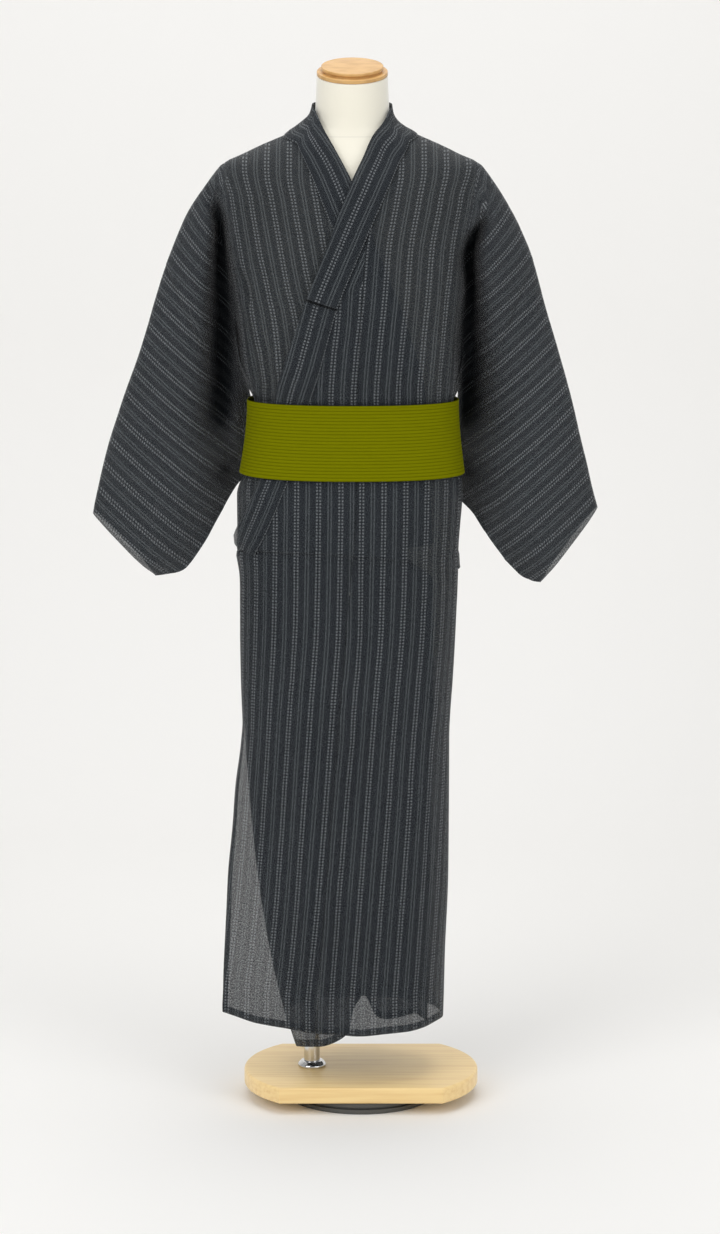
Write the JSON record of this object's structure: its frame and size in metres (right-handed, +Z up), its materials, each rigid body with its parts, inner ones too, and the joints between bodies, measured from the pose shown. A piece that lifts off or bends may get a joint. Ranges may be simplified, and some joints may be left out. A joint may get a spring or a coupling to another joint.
{
  "type": "cotton yukata robe on a limbless dress form with a stand",
  "caption": "Open-cuffed wrap robe with a long collar, a hip tuck and a ribbed wide belt, worn by a limbless dress form on a pole stand with a flat wooden base.",
  "frame": {"origin": "centre of the foot disc's flat underside, on the floor", "axes": "+Z up, -Y the way the garment faces, +X towards the wearer's left (the viewer's right)"},
  "size_m": [0.7681, 0.24, 1.6013],
  "materials": {
    "striped_cotton": "thin plain-woven dark cotton with paler stripes, slightly see-through in one layer",
    "obi_weave": "olive green ribbed weave with a soft sheen",
    "form_cover": "smooth cream stretch cover",
    "cap_wood": "pale lacquered wood",
    "board_wood": "pale planed wood, clear satin finish",
    "polished_steel": "polished",
    "foot_plastic": "dark grey, matt"
  },
  "bodies": {
    "root": {"left_body_panel": "striped_cotton", "right_body_panel": "striped_cotton", "left_okumi": "striped_cotton", "right_okumi": "striped_cotton", "left_sleeve": "striped_cotton", "right_sleeve": "striped_cotton", "collar": "striped_cotton", "over_collar": "striped_cotton", "obi": "obi_weave", "dress_form": "form_cover", "neck_cap": "cap_wood", "stand_pole": "polished_steel", "pole_flange": "polished_steel", "base_board": "board_wood", "foot_disc": "foot_plastic"}
  },
  "joints": []
}
